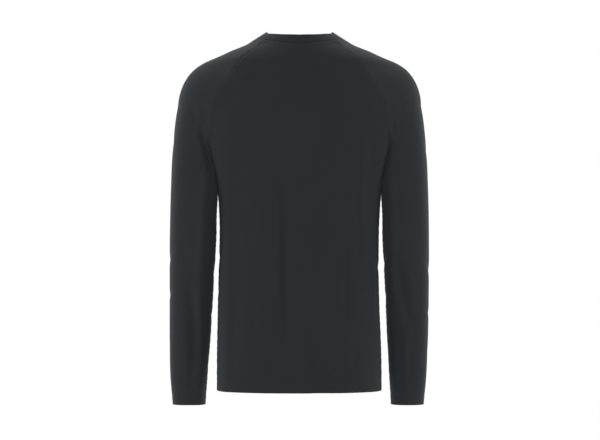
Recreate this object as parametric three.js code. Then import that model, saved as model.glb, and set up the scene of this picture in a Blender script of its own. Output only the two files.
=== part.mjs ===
// A long-sleeved crew-neck base layer top in thin stretch knit, filled out as if worn, arms hanging. It is
// cut as a front, a back, two raglan sleeves and a neck band. Millimetres: the front faces -Y, +X is the
// wearer's left, +Z is up, and the origin is at the neck, where the top hangs from the shoulders.
import * as THREE from "three";

const radians = Math.PI / 180;
const clamp = (value, low, high) => Math.min(high, Math.max(low, value));
const mix = (a, b, share) => a + (b - a) * share;
const point = (x, y, z) => new THREE.Vector3(x, y, z);
const along = (from, way, distance) => from.clone().addScaledVector(way, distance);

// Cloth and sewing
const clothWall = 1.2;
const hemWall = 2.2; // the cloth is turned up once inside each hem
const hemDepth = 22;
const seamGap = 0.3;
const crotchGap = 0.5; // between sleeve and body at the underarm point
const touchGap = 1; // the same further down, where the sleeve rests against the side

// Heights, down from the neck
const hemZ = -706;
const cuffZ = -730;
const underarmZ = -250;

// The neck seam dips from the shoulders, angle 0, to the nape, 90, and to the front, -90. Angles are seen
// from above and turn from the side of the body to its back.
const neckSeam = [
  { angle: -90, z: -80 },
  { angle: -69, z: -75 },
  { angle: -52, z: -61 },
  { angle: -38, z: -41 },
  { angle: -29, z: -23 },
  { angle: -16, z: -5 },
  { angle: 0, z: 3.5 },
  { angle: 29, z: -3 },
  { angle: 60, z: -9.5 },
  { angle: 90, z: -12 },
];
const raglanCorner = { back: 29, front: 36 }; // where the sleeves reach the neck seam

// The neck band stands on the neck seam and leans inwards, in degrees from upright.
const band = { height: 18, wall: 2.2, sideLean: 56, backLean: 18, frontLean: 40 };

// How finely the pieces are divided
const panelColumns = 22;
const sleeveColumns = 22;
const panelRows = 15; // from the hem to the underarm point
const sleeveRows = 16; // from the cuff to the underarm point
const yokeRows = 16; // from the underarm point to the neck
const parting = { angle: 25, depth: 120 }; // sleeve columns part under the arm, to meet the two seams

// The body of the garment: rings at heights z, from the hem up to the neck.
const bodyRings = [
  { z: -706, halfWidth: 164.5, front: 110, back: 115, square: 2.35 },
  { z: -630, halfWidth: 164, front: 110, back: 117, square: 2.35 },
  { z: -540, halfWidth: 161.5, front: 108, back: 110, square: 2.35 },
  { z: -440, halfWidth: 159.5, front: 110, back: 100, square: 2.35 },
  { z: -360, halfWidth: 160, front: 116, back: 99, square: 2.35 },
  { z: -300, halfWidth: 165, front: 120, back: 102, square: 2.4 },
  { z: -250, halfWidth: 177, front: 121, back: 106, square: 2.45 },
  { z: -205, halfWidth: 190, front: 118, back: 108, square: 2.4 },
  { z: -160, halfWidth: 196, front: 111, back: 107, square: 2.3 },
  { z: -120, halfWidth: 195, front: 100, back: 103, square: 2.2 },
  { z: -85, halfWidth: 189, front: 87, back: 97, square: 2.1 },
  { z: -60, halfWidth: 178, front: 77, back: 91, square: 2 },
  { z: -42, halfWidth: 166, front: 70, back: 85, square: 2 },
  { z: -26, halfWidth: 139.5, front: 65, back: 78, square: 1.9 },
  { z: -12, halfWidth: 106, front: 62, back: 70, square: 1.9 },
  { z: -2, halfWidth: 91, front: 60, back: 63, square: 1.95 },
  { z: 14, halfWidth: 63, front: 54, back: 57, square: 2 },
];

// The sleeve round the arm: rings at heights z, from the cuff up to the shoulder.
const sleeveRings = [
  { z: -730, centreX: 220.5, centreY: -56, halfWidth: 33.3, halfDepth: 36, square: 2.3 },
  { z: -680, centreX: 220.5, centreY: -47, halfWidth: 37.3, halfDepth: 39, square: 2.5 },
  { z: -610, centreX: 219, centreY: -34, halfWidth: 40.6, halfDepth: 43, square: 2.5 },
  { z: -500, centreX: 216, centreY: -17, halfWidth: 43.8, halfDepth: 47, square: 2.5 },
  { z: -400, centreX: 213, centreY: -9, halfWidth: 46.5, halfDepth: 50, square: 2.5 },
  { z: -330, centreX: 211, centreY: -7, halfWidth: 47.3, halfDepth: 53, square: 2.5 },
  { z: -290, centreX: 206, centreY: -7, halfWidth: 51, halfDepth: 53, square: 2.5 },
  { z: -250, centreX: 203.5, centreY: -7, halfWidth: 52, halfDepth: 53, square: 2.45 },
  { z: -200, centreX: 196, centreY: -6, halfWidth: 56, halfDepth: 52, square: 2.3 },
  { z: -150, centreX: 184, centreY: -3, halfWidth: 62, halfDepth: 53, square: 2.05 },
  { z: -134, centreX: 178, centreY: -1, halfWidth: 65, halfDepth: 54, square: 2 },
];
const shoulder = { rise: 80, slope: 0.8 }; // above the topmost sleeve ring; a slope of 1 is an ellipse

// How softly the sleeve runs into the body at each height.
const meeting = [
  { z: -250, reach: 4 },
  { z: -225, reach: 7 },
  { z: -180, reach: 14 },
  { z: -130, reach: 24 },
  { z: -80, reach: 28 },
  { z: -40, reach: 22 },
];

// The raglan seams, from the underarm point, share 0, to the neck, share 1.
const raglanSeams = [
  { share: 0, backZ: underarmZ, backAngle: 0, frontZ: underarmZ, frontAngle: 0 },
  { share: 0.05, backZ: -247, backAngle: 5, frontZ: -247, frontAngle: 5.5 },
  { share: 0.1, backZ: -240, backAngle: 9.5, frontZ: -240, frontAngle: 10 },
  { share: 0.16, backZ: -227, backAngle: 13, frontZ: -227, frontAngle: 13.5 },
  { share: 0.25, backZ: -201, backAngle: 16, frontZ: -203, frontAngle: 17.5 },
  { share: 0.4, backZ: -153, backAngle: 19.5, frontZ: -161, frontAngle: 22.5 },
  { share: 0.55, backZ: -110, backAngle: 21.5, frontZ: -123, frontAngle: 27 },
  { share: 0.7, backZ: -70, backAngle: 24, frontZ: -91, frontAngle: 31 },
  { share: 0.85, backZ: -34, backAngle: 27, frontZ: -63, frontAngle: 34.5 },
  {
    share: 1,
    backZ: neckZ(raglanCorner.back),
    backAngle: raglanCorner.back,
    frontZ: neckZ(-raglanCorner.front),
    frontAngle: raglanCorner.front,
  },
];
const pinchShare = 0.22; // below this share the seam lies between arm and body
const neckFollowShare = 0.75; // above this share the rows of a sleeve turn to follow the neck seam

// Points inside the sleeve, from which its rows above the underarm point fan out over the shoulder.
const sleeveFan = [
  { share: 0, x: 203.5, y: -7, z: -250, tilt: 0 },
  { share: 0.1, x: 205, y: -7, z: -231, tilt: 2 },
  { share: 0.25, x: 205, y: -6, z: -199, tilt: 8 },
  { share: 0.4, x: 186, y: -4, z: -163, tilt: 20 },
  { share: 0.55, x: 154, y: -2, z: -125, tilt: 35 },
  { share: 0.7, x: 122, y: -2, z: -92, tilt: 48 },
  { share: 0.85, x: 92, y: -3, z: -62, tilt: 57 },
  { share: 1, x: 62, y: -4, z: -36, tilt: 62 },
];

// The largest folds, each seen from its side of the garment, where z is its height and x its place across.
// It runs from one end to the other, bowed by bow, and pushes the cloth out by height, or in where that is
// less than 0. Half of its width is reach.
const folds = [
  { side: "back", fromX: 199, fromZ: -178, toX: 172, toZ: -272, bow: 2, reach: 9, height: -4.5 },
  { side: "back", fromX: -192, fromZ: -166, toX: -170, toZ: -262, bow: -3, reach: 9, height: -4.5 },
  { side: "back", fromX: 34, fromZ: -262, toX: 31, toZ: -640, bow: 0, reach: 13, height: -4 },
  { side: "back", fromX: -93, fromZ: -412, toX: -91, toZ: -572, bow: 0, reach: 12, height: -3.5 },
  { side: "back", fromX: 139, fromZ: -200, toX: 142, toZ: -690, bow: 2, reach: 14, height: 3 },
  { side: "back", fromX: -125, fromZ: -190, toX: -128, toZ: -500, bow: -2, reach: 12, height: 2.5 },
  { side: "back", fromX: 8, fromZ: -520, toX: -70, toZ: -800, bow: 0, reach: 26, height: -5 },
  { side: "back", fromX: 222, fromZ: -478, toX: 206, toZ: -660, bow: 3, reach: 13, height: -4.5 },
  { side: "back", fromX: -184, fromZ: -420, toX: -218, toZ: -580, bow: 4, reach: 15, height: -4 },
  { side: "front", fromX: 176, fromZ: -150, toX: 168, toZ: -300, bow: -3, reach: 10, height: -5 },
  { side: "front", fromX: -178, fromZ: -140, toX: -168, toZ: -300, bow: 3, reach: 10, height: -5 },
  { side: "front", fromX: 140, fromZ: -190, toX: 74, toZ: -330, bow: 8, reach: 15, height: -3 },
  { side: "front", fromX: -136, fromZ: -200, toX: -60, toZ: -360, bow: -8, reach: 16, height: -3 },
  { side: "front", fromX: 60, fromZ: -480, toX: 66, toZ: -780, bow: 4, reach: 22, height: -4 },
  { side: "front", fromX: -40, fromZ: -520, toX: -58, toZ: -780, bow: -4, reach: 24, height: -4 },
  { side: "front", fromX: 184, fromZ: -470, toX: 246, toZ: -430, bow: 5, reach: 12, height: -4.5 },
  { side: "front", fromX: -186, fromZ: -450, toX: -244, toZ: -490, bow: 5, reach: 12, height: -4.5 },
];
const foldFacing = { none: 0.25, full: 0.75 }; // a fold fades where the cloth turns away from its side

// 0 before 0, 1 after 1, and a soft rise between them.
function smooth(share) {
  const s = clamp(share, 0, 1);
  return s * s * (3 - 2 * s);
}

// One column of a table at any place: a smooth curve through its rows, level beyond its ends.
function valueAt(table, key, column, place) {
  const at = clamp(place, table[0][key], table[table.length - 1][key]);
  const last = table.length - 2;
  let i = 0;
  while (i < last && at >= table[i + 1][key]) i += 1;
  const span = (k) => table[k + 1][key] - table[k][key];
  const rise = (k) => (table[k + 1][column] - table[k][column]) / span(k);
  const slope = (k) => {
    if (k === 0) return rise(0);
    if (k === last + 1) return rise(last);
    return (rise(k) * span(k - 1) + rise(k - 1) * span(k)) / (span(k) + span(k - 1));
  };
  const h = span(i);
  const t = (at - table[i][key]) / h;
  const start = (1 + 2 * t) * (1 - t) ** 2 * table[i][column];
  const end = t * t * (3 - 2 * t) * table[i + 1][column];
  return start + end + h * t * (1 - t) * ((1 - t) * slope(i) - t * slope(i + 1));
}

// The height of the neck seam at any angle. It is the same on both sides of the body.
function neckZ(angle) {
  const turn = Math.asin(Math.sin(angle * radians));
  return valueAt(neckSeam, "angle", "z", turn / radians);
}

// How far p is outside the body ring at its height; less than 0 is inside.
function outsideBody(p) {
  const ring = (column) => valueAt(bodyRings, "z", column, p.z);
  const square = ring("square");
  const halfDepth = (ring("front") + ring("back")) / 2;
  const centreY = (ring("back") - ring("front")) / 2;
  const across = Math.abs(p.x / ring("halfWidth")) ** square;
  const deep = Math.abs((p.y - centreY) / halfDepth) ** square;
  return ((across + deep) ** (1 / square) - 1) * halfDepth;
}

// The same for the sleeve ring, which is rounded over at the shoulder.
function outsideSleeve(p) {
  const topRing = sleeveRings[sleeveRings.length - 1];
  const ring = (column) => valueAt(sleeveRings, "z", column, p.z);
  const square = ring("square");
  const across = Math.abs((Math.abs(p.x) - ring("centreX")) / ring("halfWidth")) ** square;
  const deep = Math.abs((p.y - ring("centreY")) / ring("halfDepth")) ** square;
  const over = (Math.max(0, p.z - topRing.z) / shoulder.rise) ** shoulder.slope;
  return (Math.hypot((across + deep) ** (1 / square), over) - 1) * ring("halfDepth");
}

// The smaller of two distances, with the corner where they cross rounded off.
function softMin(a, b, reach) {
  const h = clamp(0.5 + (0.5 * (b - a)) / reach, 0, 1);
  return mix(b, a, h) - reach * h * (1 - h);
}

// Body and sleeves joined, as over the shoulders.
function outsideBoth(p) {
  return softMin(outsideBody(p), outsideSleeve(p), valueAt(meeting, "z", "reach", p.z));
}

// The sleeve alone, pressed aside where it lies against the body.
function outsidePressed(p) {
  const room = mix(crotchGap, touchGap, smooth((underarmZ - p.z) / hemDepth));
  return -softMin(-outsideSleeve(p), outsideBody(p) - room, meeting[0].reach);
}

// The outward direction of a form at p.
function outward(form, p) {
  const step = 0.5;
  const slope = (x, y, z) =>
    form(point(p.x + x, p.y + y, p.z + z)) - form(point(p.x - x, p.y - y, p.z - z));
  return point(slope(step, 0, 0), slope(0, step, 0), slope(0, 0, step)).normalize();
}

// Where a ray crosses a form's surface between two distances, the first inside it and the second outside.
function crossing(form, from, way, inside, outside) {
  const halvings = 18;
  let inner = inside;
  let outer = outside;
  for (let i = 0; i < halvings; i += 1) {
    const middle = (inner + outer) / 2;
    if (form(along(from, way, middle)) > 0) outer = middle;
    else inner = middle;
  }
  return along(from, way, (inner + outer) / 2);
}

// Where a ray from inside a form first leaves it.
function firstExit(form, from, way) {
  const step = 2;
  let inner = 0;
  while (form(along(from, way, inner + step)) <= 0) inner += step;
  return crossing(form, from, way, inner, inner + step);
}

// Where a ray from inside a form leaves it for the last time within a distance.
function lastExit(form, from, way, within) {
  const step = 2;
  let outer = within;
  while (form(along(from, way, outer - step)) > 0) outer -= step;
  return crossing(form, from, way, outer - step, outer);
}

// Moves p onto a form's surface.
function settle(form, p) {
  const passes = 4;
  for (let i = 0; i < passes; i += 1) p.addScaledVector(outward(form, p), -form(p));
  return p;
}

// A point of the body's surface at an angle seen from above.
function bodyPoint(form, angle, z) {
  const centreY = (valueAt(bodyRings, "z", "back", z) - valueAt(bodyRings, "z", "front", z)) / 2;
  const from = point(0, centreY, z);
  const way = point(Math.cos(angle * radians), Math.sin(angle * radians), 0);
  const edge = firstExit(outsideBody, from, way);
  if (form === outsideBody) return edge;
  return lastExit(form, from, way, edge.distanceTo(from) + valueAt(meeting, "z", "reach", z));
}

// How far the folds push the cloth out at p, where it faces along normal.
function foldHeight(p, normal) {
  let height = 0;
  for (const fold of folds) {
    const facing = fold.side === "back" ? normal.y : -normal.y;
    const shown = smooth((facing - foldFacing.none) / (foldFacing.full - foldFacing.none));
    const runX = fold.toX - fold.fromX;
    const runZ = fold.toZ - fold.fromZ;
    const length = Math.hypot(runX, runZ);
    const share = ((p.x - fold.fromX) * runX + (p.z - fold.fromZ) * runZ) / length ** 2;
    if (shown === 0 || share <= 0 || share >= 1) continue;
    const aside = ((p.x - fold.fromX) * runZ - (p.z - fold.fromZ) * runX) / length;
    const off = (aside - fold.bow * 4 * share * (1 - share)) / fold.reach;
    const profile = (1 - 0.5 * off * off) * Math.exp(-off * off);
    height += fold.height * shown * Math.sin(Math.PI * share) ** 0.7 * profile;
  }
  return height;
}

// A spot of cloth: its outer point, the way it faces, and the wall that lies behind it.
function cloth(form, p, wall = clothWall) {
  const normal = outward(form, p);
  return { outer: along(p, normal, foldHeight(p, normal)), normal, wall };
}

// Draws the spots of an edge back from the seam by half the gap, towards their neighbours.
function drawBack(edge, neighbours) {
  const ways = edge.map((spot, i) => {
    const before = edge[Math.max(0, i - 1)].outer;
    const after = edge[Math.min(edge.length - 1, i + 1)].outer;
    const way = after.clone().sub(before).cross(spot.normal).normalize();
    const towards = neighbours[i].outer.clone().sub(spot.outer);
    return way.multiplyScalar(Math.sign(way.dot(towards)));
  });
  edge.forEach((spot, i) => spot.outer.addScaledVector(ways[i], seamGap / 2));
}

// A closed wall from rows of spots. A row that ends on its own first spot closes round.
function wallGeometry(rows, anticlockwise) {
  const spots = [...new Set(rows.flat())];
  const number = new Map(spots.map((spot, i) => [spot, i]));
  const faces = [];
  for (let i = 0; i + 1 < rows.length; i += 1) {
    for (let j = 0; j + 1 < rows[i].length; j += 1) {
      const corners = [rows[i][j], rows[i][j + 1], rows[i + 1][j + 1], rows[i + 1][j]];
      if (!anticlockwise) corners.reverse();
      const [a, b, c, d] = corners;
      const short = a.outer.distanceTo(c.outer) <= b.outer.distanceTo(d.outer);
      faces.push(short ? [a, b, c] : [a, b, d], short ? [a, c, d] : [b, c, d]);
    }
  }
  const inner = spots.map((spot) => along(spot.outer, spot.normal, -spot.wall));
  const positions = [...spots.map((spot) => spot.outer), ...inner].flatMap((p) => p.toArray());
  const index = [];
  const edges = new Map();
  for (const face of faces) {
    const [a, b, c] = face.map((spot) => number.get(spot));
    index.push(a, b, c, spots.length + a, spots.length + c, spots.length + b);
    for (const edge of [[a, b], [b, c], [c, a]]) edges.set(edge.join(), edge);
  }
  for (const [start, end] of edges.values()) {
    if (edges.has([end, start].join())) continue;
    index.push(end, start, spots.length + start, end, spots.length + start, spots.length + end);
  }
  return geometryOf(positions, index);
}

function geometryOf(positions, index) {
  const geometry = new THREE.BufferGeometry();
  geometry.setAttribute("position", new THREE.Float32BufferAttribute(positions, 3));
  geometry.setIndex(index);
  geometry.computeVertexNormals();
  return geometry;
}

// The seam point of a share on the wearer's left.
function seamAt(share, half) {
  const z = valueAt(raglanSeams, "share", `${half}Z`, share);
  const angle = valueAt(raglanSeams, "share", `${half}Angle`, share) * (half === "back" ? 1 : -1);
  const form = share < pinchShare ? outsideBody : outsideBoth;
  return { p: bodyPoint(form, angle, z), form, z, angle };
}

// The rows from a hem up to the underarm point, of which the first two hold the turned-up cloth.
function lowerRows(lowZ, count) {
  const hemTop = lowZ + hemDepth;
  const first = hemTop + hemWall - clothWall;
  const plain = Array.from({ length: count + 1 }, (_, i) => ({
    z: mix(first, underarmZ, i / count),
    wall: clothWall,
  }));
  return [{ z: lowZ, wall: hemWall }, { z: hemTop, wall: hemWall }, ...plain];
}

// The front or the back: level rows up to the underarm point, then rows from seam to seam up to the neck.
function bodyPanel(half) {
  const sign = half === "back" ? 1 : -1;
  const shares = Array.from({ length: panelColumns + 1 }, (_, j) => j / panelColumns);
  const rows = lowerRows(hemZ, panelRows).map(({ z, wall }) =>
    shares.map((across) =>
      cloth(outsideBody, bodyPoint(outsideBody, sign * 180 * across, z), wall),
    ),
  );
  const corner = seamAt(1, half);
  for (let k = 1; k <= yokeRows; k += 1) {
    const seam = seamAt(k / yokeRows, half);
    const evenZ = mix(underarmZ, neckZ(sign * 90), k / yokeRows);
    rows.push(
      shares.map((across) => {
        const angle = mix(seam.angle, sign * 180 - seam.angle, across);
        const neckAngle = mix(corner.angle, sign * 180 - corner.angle, across);
        const even = mix(seam.z, evenZ, Math.sin(Math.PI * across) ** 0.7);
        const atNeck = seam.z + neckZ(neckAngle) - corner.z;
        const z = mix(even, atNeck, smooth(k / yokeRows));
        return cloth(seam.form, bodyPoint(seam.form, angle, z));
      }),
    );
  }
  const column = (j) => rows.map((row) => row[j]);
  drawBack(column(0), column(1));
  drawBack(column(panelColumns), column(panelColumns - 1));
  drawBack(rows[rows.length - 1], rows[rows.length - 2]);
  return wallGeometry(rows, half === "back");
}

// A sleeve, side 1 on the wearer's left and -1 on the right: rings up the arm to the underarm point, then
// rows from seam to seam over the shoulder.
function sleeve(side) {
  const spot = (form, p, wall) => cloth(form, point(side * p.x, p.y, p.z), wall);
  const rows = lowerRows(cuffZ, sleeveRows).map(({ z, wall }) => {
    const centreX = valueAt(sleeveRings, "z", "centreX", z);
    const centreY = valueAt(sleeveRings, "z", "centreY", z);
    const parted = parting.angle * radians * smooth((z - underarmZ) / parting.depth + 1);
    const ring = Array.from({ length: sleeveColumns }, (_, j) => {
      const turn = j === 0 ? Math.PI : (Math.PI - parted) * (1 - (2 * j) / sleeveColumns);
      const way = point(Math.cos(turn), Math.sin(turn), 0);
      return spot(outsidePressed, firstExit(outsidePressed, point(centreX, centreY, z), way), wall);
    });
    return [...ring, ring[0]];
  });
  for (let k = 1; k <= yokeRows; k += 1) {
    const share = k / yokeRows;
    const form = share < pinchShare ? outsidePressed : outsideBoth;
    rows.push(yokePoints(share, form).map((p) => spot(form, p)));
  }
  const yoke = rows.slice(-yokeRows);
  const column = (j) => yoke.map((row) => row[j]);
  drawBack(column(0), column(1));
  drawBack(column(sleeveColumns), column(sleeveColumns - 1));
  drawBack(rows[rows.length - 1], rows[rows.length - 2]);
  return wallGeometry(rows, side < 0);
}

// One row of the left sleeve above the underarm point, from its back seam over the arm to its front seam.
function yokePoints(share, form) {
  const fan = (column) => valueAt(sleeveFan, "share", column, share);
  const from = point(fan("x"), fan("y"), fan("z"));
  const tilt = fan("tilt") * radians;
  const out = point(Math.cos(tilt), 0, Math.sin(tilt));
  const up = point(-Math.sin(tilt), 0, Math.cos(tilt));
  const ends = ["back", "front"].map((half) => {
    const { p } = seamAt(share, half);
    if (share < pinchShare) p.addScaledVector(outward(outsideBody, p), crotchGap);
    const way = p.clone().sub(from);
    const turn = Math.atan2(way.y, way.dot(out));
    const slope = way.dot(up) / Math.hypot(way.dot(out), way.y);
    return { p, turn, slope };
  });
  const follow = smooth((share - neckFollowShare) / (1 - neckFollowShare));
  return Array.from({ length: sleeveColumns + 1 }, (_, j) => {
    if (j === 0) return ends[0].p;
    if (j === sleeveColumns) return ends[1].p;
    const neckAngle = mix(raglanCorner.back, -raglanCorner.front, j / sleeveColumns);
    const neckPoint = bodyPoint(outsideBoth, neckAngle, neckZ(neckAngle));
    if (share === 1) return neckPoint;
    const turn = mix(ends[0].turn, ends[1].turn, j / sleeveColumns);
    const end = turn > 0 ? ends[0] : ends[1];
    const way = point(0, Math.sin(turn), 0)
      .addScaledVector(out, Math.cos(turn))
      .addScaledVector(up, end.slope * (turn / end.turn) ** 2)
      .normalize();
    return settle(form, firstExit(form, from, way).lerp(neckPoint, follow));
  });
}

// The neck band: a folded strip that stands on the neck seam all round.
function neckBand() {
  const back = raglanCorner.back;
  const front = raglanCorner.front;
  const arcs = [
    { from: back, to: 180 - back, steps: panelColumns },
    { from: 180 - back, to: 180 + front, steps: sleeveColumns },
    { from: 180 + front, to: 360 - front, steps: panelColumns },
    { from: -front, to: back, steps: sleeveColumns },
  ];
  const cut = [
    { rise: 0, sink: 0 },
    { rise: 0.5, sink: -0.2 },
    { rise: 0.93, sink: 0.1 },
    { rise: 1, sink: 0.5 },
    { rise: 0.93, sink: 0.9 },
    { rise: 0, sink: 1 },
  ];
  const rings = arcs.flatMap(({ from, to, steps }) =>
    Array.from({ length: steps }, (_, i) => {
      const angle = mix(from, to, i / steps);
      const foot = cloth(outsideBoth, bodyPoint(outsideBoth, angle, neckZ(angle)));
      const lean = bandLean(angle) * radians;
      const flat = point(foot.outer.x, foot.outer.y, 0).normalize();
      const up = point(0, 0, Math.cos(lean)).addScaledVector(flat, -Math.sin(lean));
      const out = point(0, 0, Math.sin(lean)).addScaledVector(flat, Math.cos(lean));
      const base = along(foot.outer, up, seamGap / 2);
      return cut.map(({ rise, sink }) =>
        along(along(base, up, rise * band.height), rise === 0 ? foot.normal : out, -sink * band.wall),
      );
    }),
  );
  const index = [];
  const number = (i, k) => (i % rings.length) * cut.length + (k % cut.length);
  for (let i = 0; i < rings.length; i += 1) {
    for (let k = 0; k < cut.length; k += 1) {
      const [a, b, c, d] = [number(i, k), number(i + 1, k), number(i + 1, k + 1), number(i, k + 1)];
      index.push(a, b, c, a, c, d);
    }
  }
  return geometryOf(rings.flat().flatMap((p) => p.toArray()), index);
}

function bandLean(angle) {
  const turn = Math.sin(angle * radians);
  return mix(band.sideLean, turn > 0 ? band.backLean : band.frontLean, turn ** 2);
}

function piece(name, geometry, material) {
  const mesh = new THREE.Mesh(geometry, material);
  mesh.name = name;
  return mesh;
}

const charcoalKnit = new THREE.MeshStandardMaterial({ color: "#26282a", roughness: 0.9, metalness: 0 });
const charcoalRib = new THREE.MeshStandardMaterial({ color: "#242628", roughness: 0.92, metalness: 0 });

const garment = new THREE.Group();
garment.add(piece("back_panel", bodyPanel("back"), charcoalKnit));
garment.add(piece("front_panel", bodyPanel("front"), charcoalKnit));
garment.add(piece("left_sleeve", sleeve(1), charcoalKnit));
garment.add(piece("right_sleeve", sleeve(-1), charcoalKnit));
garment.add(piece("neck_band", neckBand(), charcoalRib));

export default garment;
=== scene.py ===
import math

import bpy
import numpy as np
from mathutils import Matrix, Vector


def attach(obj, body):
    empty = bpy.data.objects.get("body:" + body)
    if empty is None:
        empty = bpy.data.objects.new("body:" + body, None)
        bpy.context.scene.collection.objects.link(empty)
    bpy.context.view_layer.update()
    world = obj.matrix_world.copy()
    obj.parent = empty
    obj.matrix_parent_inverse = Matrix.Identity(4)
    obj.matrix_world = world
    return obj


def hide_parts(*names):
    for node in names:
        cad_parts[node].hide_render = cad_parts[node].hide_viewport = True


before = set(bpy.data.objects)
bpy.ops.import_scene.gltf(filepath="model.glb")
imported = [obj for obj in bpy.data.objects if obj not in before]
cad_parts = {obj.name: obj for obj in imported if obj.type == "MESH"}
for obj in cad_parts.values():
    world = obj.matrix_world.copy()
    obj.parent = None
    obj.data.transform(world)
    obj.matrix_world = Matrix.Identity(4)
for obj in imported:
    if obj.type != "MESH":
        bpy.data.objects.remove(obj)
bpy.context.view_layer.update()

scene = bpy.context.scene
metre = 0.001


def table(columns, *rows):
    return dict(zip(columns.split(), np.array(rows, float).T))


def smooth(share):
    s = np.clip(share, 0, 1)
    return s * s * (3 - 2 * s)


def mix(a, b, share):
    return a + (b - a) * share


def unit(v):
    return v / np.linalg.norm(v, axis=-1, keepdims=True)


# One column of a table at any places: a smooth curve through its rows, level beyond its ends.
def valueAt(rows, key, column, place):
    places, values = rows[key], rows[column]
    at = np.clip(place, places[0], places[-1])
    i = np.clip(np.searchsorted(places, at, side="right") - 1, 0, len(places) - 2)
    span = np.diff(places)
    rise = np.diff(values) / span
    inner = (rise[1:] * span[:-1] + rise[:-1] * span[1:]) / (span[1:] + span[:-1])
    slope = np.concatenate([rise[:1], inner, rise[-1:]])
    t = (at - places[i]) / span[i]
    start = (1 + 2 * t) * (1 - t) ** 2 * values[i]
    end = t * t * (3 - 2 * t) * values[i + 1]
    return start + end + span[i] * t * (1 - t) * ((1 - t) * slope[i] - t * slope[i + 1])


# The form of the garment, in the same tables as its solids.
heights = {"hem": -702.0, "cuff": -734.0, "underarm": -250.0}

neckSeam = table(
    "angle z",  # the side of the neck is 0, the nape 90 and the front -90
    (-90, -80), (-69, -75), (-52, -61), (-38, -41), (-29, -23),
    (-16, -5), (0, 3.5), (29, -3), (60, -9.5), (90, -12),
)


def neckZ(angle):
    return valueAt(neckSeam, "angle", "z", np.degrees(np.arcsin(np.sin(np.radians(angle)))))


bodyRings = table(
    "z halfWidth front back square",
    (-706, 164.5, 110, 115, 2.35),
    (-630, 164, 110, 117, 2.35),
    (-540, 161.5, 108, 110, 2.35),
    (-440, 159.5, 110, 100, 2.35),
    (-360, 160, 116, 99, 2.35),
    (-300, 165, 120, 102, 2.4),
    (-250, 177, 121, 106, 2.45),
    (-205, 190, 118, 108, 2.4),
    (-160, 196, 111, 107, 2.3),
    (-120, 195, 100, 103, 2.2),
    (-85, 189, 87, 97, 2.1),
    (-60, 178, 77, 91, 2),
    (-42, 166, 70, 85, 2),
    (-26, 139.5, 65, 78, 1.9),
    (-12, 106, 62, 70, 1.9),
    (-2, 91, 60, 63, 1.95),
    (14, 63, 54, 57, 2),
)

sleeveRings = table(
    "z centreX centreY halfWidth halfDepth square",
    (-730, 220.5, -56, 33.3, 36, 2.3),
    (-680, 220.5, -47, 37.3, 39, 2.5),
    (-610, 219, -34, 40.6, 43, 2.5),
    (-500, 216, -17, 43.8, 47, 2.5),
    (-400, 213, -9, 46.5, 50, 2.5),
    (-330, 211, -7, 47.3, 53, 2.5),
    (-290, 206, -7, 51, 53, 2.5),
    (-250, 203.5, -7, 52, 53, 2.45),
    (-200, 196, -6, 56, 52, 2.3),
    (-150, 184, -3, 62, 53, 2.05),
    (-134, 178, -1, 65, 54, 2),
)
shoulder = {"top": -134.0, "rise": 80.0, "slope": 0.8}
# The photo's waist and forearms hang a touch to the left, which the solids leave out.
sway = table(
    "z body arm",
    (-734, 0.5, 2.6), (-660, 0.6, 2.2), (-600, 1, 1.4), (-520, 1.8, 0.6),
    (-460, 1.6, 0.4), (-400, 0.6, 0.2), (-340, 0, 0), (-250, 0, 0),
)
meeting = table("z reach", (-250, 4), (-225, 7), (-180, 14), (-130, 24), (-80, 28), (-40, 22))

raglanCorner = {"back": 29.0, "front": 36.0}
raglanSeams = table(
    "share backZ backAngle frontZ frontAngle",
    (0, -250, 0, -250, 0),
    (0.05, -247, 5, -247, 5.5),
    (0.1, -240, 9.5, -240, 10),
    (0.16, -227, 13, -227, 13.5),
    (0.25, -201, 16, -203, 17.5),
    (0.4, -153, 19.5, -161, 22.5),
    (0.55, -110, 21.5, -123, 27),
    (0.7, -70, 24, -91, 31),
    (0.85, -34, 27, -63, 34.5),
    (1, neckZ(29), 29, neckZ(-36), 36),
)
sleeveFan = table(
    "share x y z tilt",
    (0, 203.5, -7, -250, 0),
    (0.1, 205, -7, -231, 2),
    (0.25, 205, -6, -199, 8),
    (0.4, 186, -4, -163, 20),
    (0.55, 154, -2, -125, 35),
    (0.7, 122, -2, -92, 48),
    (0.85, 92, -3, -62, 57),
    (1, 62, -4, -36, 62),
)
# Between these shares the raglan seam comes out from between arm and body, onto the open shoulder.
pinch = {"from": 0.17, "to": 0.27, "crotchGap": 0.5, "touchGap": 1.0, "touchDepth": 22.0}
neckFollowShare = 0.75


# How far points are outside the body, the sleeves, or both; less than 0 is inside.
def outsideBody(p):
    halfWidth, front, back, square = (
        valueAt(bodyRings, "z", column, p[..., 2]) for column in ("halfWidth", "front", "back", "square")
    )
    halfDepth = (front + back) / 2
    across = np.abs(p[..., 0] / halfWidth) ** square
    deep = np.abs((p[..., 1] - (back - front) / 2) / halfDepth) ** square
    return ((across + deep) ** (1 / square) - 1) * halfDepth


def outsideSleeve(p):
    centreX, centreY, halfWidth, halfDepth, square = (
        valueAt(sleeveRings, "z", column, p[..., 2])
        for column in ("centreX", "centreY", "halfWidth", "halfDepth", "square")
    )
    across = np.abs((np.abs(p[..., 0]) - centreX) / halfWidth) ** square
    deep = np.abs((p[..., 1] - centreY) / halfDepth) ** square
    over = (np.maximum(0, p[..., 2] - shoulder["top"]) / shoulder["rise"]) ** shoulder["slope"]
    return (np.hypot((across + deep) ** (1 / square), over) - 1) * halfDepth


def softMin(a, b, reach):
    h = np.clip(0.5 + 0.5 * (b - a) / reach, 0, 1)
    return mix(b, a, h) - reach * h * (1 - h)


def outsideBoth(p):
    return softMin(outsideBody(p), outsideSleeve(p), valueAt(meeting, "z", "reach", p[..., 2]))


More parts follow.
